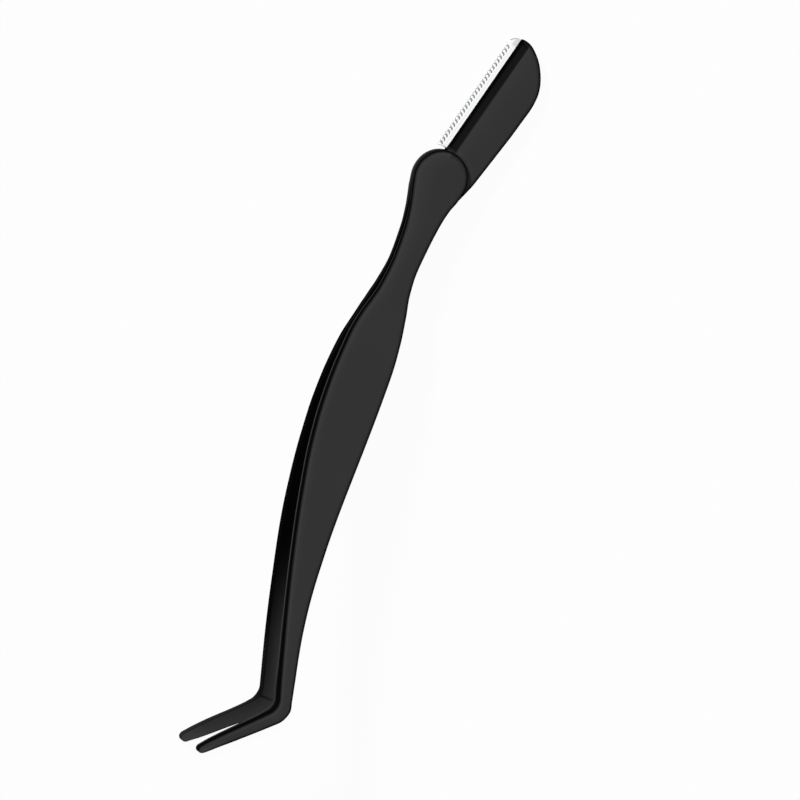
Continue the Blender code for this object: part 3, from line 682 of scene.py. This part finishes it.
def bladeHolder():
    # A loft like the halves', whose left wall also dips into the groove that grips the steel.
    left, right = holderEdges()
    leftIn, rightIn = matchedNormals(left, right, -1)
    onEdge = left[:, 0] < razor["edgeX"] + razor["edgeSlack"]
    straight = smoothStep(left[:, 1], *razor["straightSpan"]) * onEdge
    leftRim = razor["rim"] + (razor["edgeRim"] - razor["rim"]) * straight
    leftRows, leftTones = holderRim(left, leftIn, leftRim)
    rightRows, rightTones = holderRim(right, rightIn, np.full(len(right), razor["rim"]))
    low, high = razor["grooveSpan"]
    besideBlade = left[:, 0] < razor["edgeX"] + razor["grooveReach"]
    inGroove = (left[:, 1] > low) & (left[:, 1] < high) & besideBlade
    deepX = np.where(inGroove, razor["grooveX"], left[:, 0])
    mouth = np.column_stack((left, np.full(len(left), razor["grooveHeight"])))
    floor = np.column_stack((deepX, left[:, 1], mouth[:, 2]))
    face, faceTones = [], []
    for t in np.linspace(0, 1, 40)[1:-1] ** razor["faceSpread"]:
        spot = leftRows[-1][:, :2] + (rightRows[-1][:, :2] - leftRows[-1][:, :2]) * t
        face.append(np.column_stack((spot, holderTop(spot[:, 0], spot[:, 1]))))
        faceTones.append(bandShade(spot[:, 0], spot[:, 1]))
    # The groove's floor and mouth take the full painted shade.
    full = np.ones(len(left))
    upper = [floor, mouth] + leftRows + face + rightRows[::-1]
    upperTones = [full, full] + leftTones + faceTones + rightTones[::-1]
    lower = [row * (1, 1, -1) for row in upper[::-1]]
    points = np.stack(upper + lower, axis=1)
    tones = np.stack(upperTones + upperTones[::-1], axis=1)
    highlights = holderHighlights(points[:, :, 0], points[:, :, 1])
    piece = makePiece("bladeHolder", razorPlaces(points), ringFaces(*points.shape[:2]), "razor",
                      {"paintedShade": tones, "paintedLight": highlights})
    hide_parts("blade_holder")
    return dress(piece, mouldingFinish)


# The comb guard and the blade, in the razor's axes

guard = {
    "outer": 0.26, "thickness": 0.10, "backX": -1.30, "flankX": (-2.0, -2.6), "foldX": -4.52,
    "start": 5.98, "footSlope": 0.27, "end": 35.42, "corner": 2.2,
    "slots": 28, "pitch": 0.952, "first": 6.89, "slotWidth": 0.33, "slotInnerX": -3.83,
    "hookX": -4.35, "hookReach": 0.34,
    "foldShadeSpan": (0.05, 0.17), "lineX": -3.30, "lineWidth": 0.12, "lineTone": 0.25,
    "edgeShade": 0.85, "edgeWidth": 0.15, "patchShade": 0.48, "patchX": (-4.1, -3.7),
    "patchY": (33.1, 33.5), "footRows": (0, 0.12, 0.25, 0.6), "endRows": (0.94, 0.97, 1.0),
}


def roundedEnd(x, outerX, end, corner):  # where a strip ends, with its outer corner rounded
    inCorner = np.clip(outerX + corner - x, 0, corner)
    return end - corner + np.sqrt(corner ** 2 - inCorner ** 2)


def combGuard():
    # A strip folded over the blade's edge. Across it the sheet runs from the back, round the fold
    # and back again. Along it the rows follow the foot, then each side of every slot, whose inner
    # end curves towards the head, and then the rounded end. The slots' cells are left out.
    radius = guard["outer"] - guard["thickness"] / 2
    nearLine = guard["lineX"] + np.linspace(2, -2, 9) * guard["lineWidth"]
    alongSlot = np.linspace(guard["slotInnerX"], guard["foldX"], 9)
    flank = np.concatenate(([guard["backX"], *guard["flankX"]], nearLine, alongSlot))
    slotRow = len(flank) - len(alongSlot)
    turn = np.radians(np.linspace(90, 270, 15))[1:-1]
    x = np.concatenate((flank, guard["foldX"] + radius * np.cos(turn), flank[::-1]))
    side = np.full(len(flank), radius)
    z = np.concatenate((side, radius * np.sin(turn), -side))
    middles = guard["first"] + np.arange(guard["slots"]) * guard["pitch"]
    sides = (middles[:, None] + np.array((-0.5, 0.5)) * guard["slotWidth"]).ravel()
    inward = (x - guard["hookX"]) / (guard["slotInnerX"] - guard["hookX"])
    slotLines = sides[:, None] - guard["hookReach"] * np.clip(inward, 0, 1) ** 2
    outerX = guard["foldX"] - radius
    foot = guard["start"] + guard["footSlope"] * (x - outerX)
    end = roundedEnd(x, outerX, guard["end"], guard["corner"])
    footShare = np.array(guard["footRows"])[:, None]
    endShare = np.append(np.linspace(0, 0.9, 11)[1:], guard["endRows"])[:, None]
    footRows = foot + (slotLines[0] - foot) * footShare
    endRows = slotLines[-1] + (end - slotLines[-1]) * endShare
    y = np.vstack((footRows, slotLines, endRows))
    points = sectionGrid(x, y, z)
    rows, count = y.shape
    i, j = np.meshgrid(np.arange(rows - 1), np.arange(count - 1), indexing="ij")
    slot = i - len(footShare)
    inRow = (slot % 2 == 0) & (slot >= 0) & (slot < len(slotLines))
    cutHere = inRow & (j >= slotRow) & (j < count - 1 - slotRow)
    first = i * count + j
    quads = np.stack((first, first + 1, first + count + 1, first + count), axis=-1)
    # Painted shade on the steel: darker round the fold, at the foot and the rounded end, and in one
    # patch near the far end. A faint line along the guard is darker too.
    fold = smoothStep(guard["foldX"] - x, *guard["foldShadeSpan"])
    line = guard["lineTone"] * np.exp(-((x - guard["lineX"]) / guard["lineWidth"]) ** 2)
    fromFoot, fromEnd = (y - foot) / guard["edgeWidth"], (end - y) / guard["edgeWidth"]
    rim = np.exp(-fromFoot ** 2) + np.exp(-fromEnd ** 2)
    patch = guard["patchShade"] * smoothStep(x, *guard["patchX"]) * smoothStep(y, *guard["patchY"])
    tone = np.maximum(np.maximum(fold + line, guard["edgeShade"] * rim), patch)
    piece = makePiece("combGuard", razorPlaces(points), quads[~cutHere], "razor",
                      {"paintedSteelShade": tone})
    wall = piece.modifiers.new("sheetThickness", "SOLIDIFY")
    wall.thickness = guard["thickness"] * mm
    wall.offset = 0
    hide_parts("comb_guard")
    return dress(piece, rolledSteel("guardSteel", steel, alongBlade))


bladeStrip = {"backX": -0.75, "grindX": -3.8, "edgeX": -4.62, "thickness": 0.12, "edgeThickness": 0.016,
              "start": 6.3, "end": 35.1, "corner": 2.0}


def razorBlade():
    # A ground strip: its section, carried along the razor to the rounded end.
    flat, edge = bladeStrip["thickness"] / 2, bladeStrip["edgeThickness"] / 2
    grind = np.linspace(0, 1, 5)[1:-1, None]
    grindTop, grindEdge = np.array((bladeStrip["grindX"], flat)), np.array((bladeStrip["edgeX"], edge))
    side = np.vstack(([(x, flat) for x in np.linspace(bladeStrip["backX"], bladeStrip["grindX"], 8)],
                      grindTop + (grindEdge - grindTop) * grind, grindEdge))
    section = np.vstack((side, side[::-1] * (1, -1)))
    x, z = section.T
    end = roundedEnd(x, bladeStrip["edgeX"], bladeStrip["end"], bladeStrip["corner"])
    y = bladeStrip["start"] + (end - bladeStrip["start"]) * np.linspace(0, 1, 24)[:, None]
    points = sectionGrid(x, y, z)
    rows, count = y.shape
    caps = [list(range(count)), list(range((rows - 1) * count, rows * count))]
    piece = makePiece("razorBlade", razorPlaces(points), ringFaces(rows, count).tolist() + caps,
                      "razor", sharp=8)
    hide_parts("blade")
    return dress(piece, rolledSteel("bladeSteel", bladeSteel, alongBlade))


# Stage, light and camera

view = {
    "pixel": 0.22, "tilt": 20.0, "pivotPixel": (438.55, 178.3), "across": (0.8544, 0.5197),
    "heading": (0.99, -0.148), "distance": 2200.0, "frame": 800, "sensor": 36.0, "clipEnd": 20,
}
lamps = {"ambient": 0.24, "sun": 3.1, "sunAngle": 7.0, "sunLift": 38.0}
paper = {"reach": 1.6, "colour": (0.97, 0.97, 0.97, 1), "whiteShare": 0.96}


def photoAxes():
    # The camera's right, up and backward directions: the tool's face is seen from its left by
    # the tilt, and turned in the picture.
    tilt = math.radians(view["tilt"])
    w = toolX * view["heading"][0] + toolY * view["heading"][1]
    w /= np.linalg.norm(w)
    v = np.cross(toolZ, w)
    back = math.cos(tilt) * toolZ - math.sin(tilt) * w
    level = math.cos(tilt) * w + math.sin(tilt) * toolZ
    cosine, sine = view["across"]
    return level * cosine + v * sine, v * cosine - level * sine, back


def addCamera():
    # A long lens from far away, aimed so that the pivot falls on its place in the photograph.
    right, up, back = photoAxes()
    offset = (view["frame"] / 2 - np.array(view["pivotPixel"])) * view["pixel"] * mm
    target = toolOrigin + right * offset[0] - up * offset[1]
    spot = target + back * view["distance"] * mm
    data = bpy.data.cameras.new("photoCamera")
    data.sensor_width = view["sensor"]
    data.lens = view["sensor"] * view["distance"] / (view["frame"] * view["pixel"])
    data.clip_end = view["clipEnd"]
    camera = addObject("photoCamera", data)
    turn = Matrix(np.column_stack((right, up, back)).tolist()).to_4x4()
    camera.matrix_world = Matrix.Translation(Vector(spot)) @ turn
    bpy.context.scene.camera = camera


def addLight():
    # A sun from the picture's upper left, and a white world. Seen directly or in a reflection
    # the world is plain white, but it lights the object only by the ambient share.
    right, up, back = photoAxes()
    lift = math.radians(lamps["sunLift"])
    side = (up - right) / math.sqrt(2)
    towards = side * math.cos(lift) + toolZ * math.sin(lift)
    data = bpy.data.lights.new("keyLight", "SUN")
    data.energy = lamps["sun"]
    data.angle = math.radians(lamps["sunAngle"])
    lamp = addObject("keyLight", data)
    lamp.rotation_euler = Vector(towards).to_track_quat("Z", "Y").to_euler()
    finish = Finish(bpy.data.worlds.new("studio"))
    strength = finish.plainlySeen() * (1 - lamps["ambient"]) + lamps["ambient"]
    glow = finish.node("Background", named={"Color": (1, 1, 1, 1), "Strength": strength})
    bpy.context.scene.world = finish.done(glow, "OutputWorld")


def addFloor():
    # A white floor. Rays from the camera and from glossy surfaces see it mostly as plain white,
    # with a share of its lit surface, which keeps the object's shadow.
    reach = paper["reach"]
    points = [(-reach, -reach, 0), (reach, -reach, 0), (reach, reach, 0), (-reach, reach, 0)]
    mesh = bpy.data.meshes.new("floor")
    mesh.from_pydata(points, [], [(0, 1, 2, 3)])
    floor = addObject("floor", mesh)
    finish = Finish(bpy.data.materials.new("paper"))
    lit = finish.node("BsdfDiffuse", named={"Color": paper["colour"]})
    white = finish.node("Emission", named={"Color": (1, 1, 1, 1), "Strength": 1.0})
    share = finish.plainlySeen() * paper["whiteShare"]
    dress(floor, finish.done(finish.node("MixShader", values=(share, lit, white))))


addCamera()
addLight()
addFloor()
print("camera, light and floor")

mouldingFinish = blackMoulding("blackMoulding")
mouldedHalf("upperHalf", 1, "upper_head_plate", "upper_arm", upperLook)
mouldedHalf("lowerHalf", -1, "lower_head_plate", "lower_arm", lowerLook)
neckWeb()
print("moulded halves")

alongBlade = toWorld(razorToTool((0, 1, 0))) - toolOrigin
bladeHolder()
combGuard()
razorBlade()
dress(frame["nodes"]["pivot_pin"], rolledSteel("pinSteel", steel, toolZ))
print("razor")

bpy.context.scene.view_settings.view_transform = "Standard"
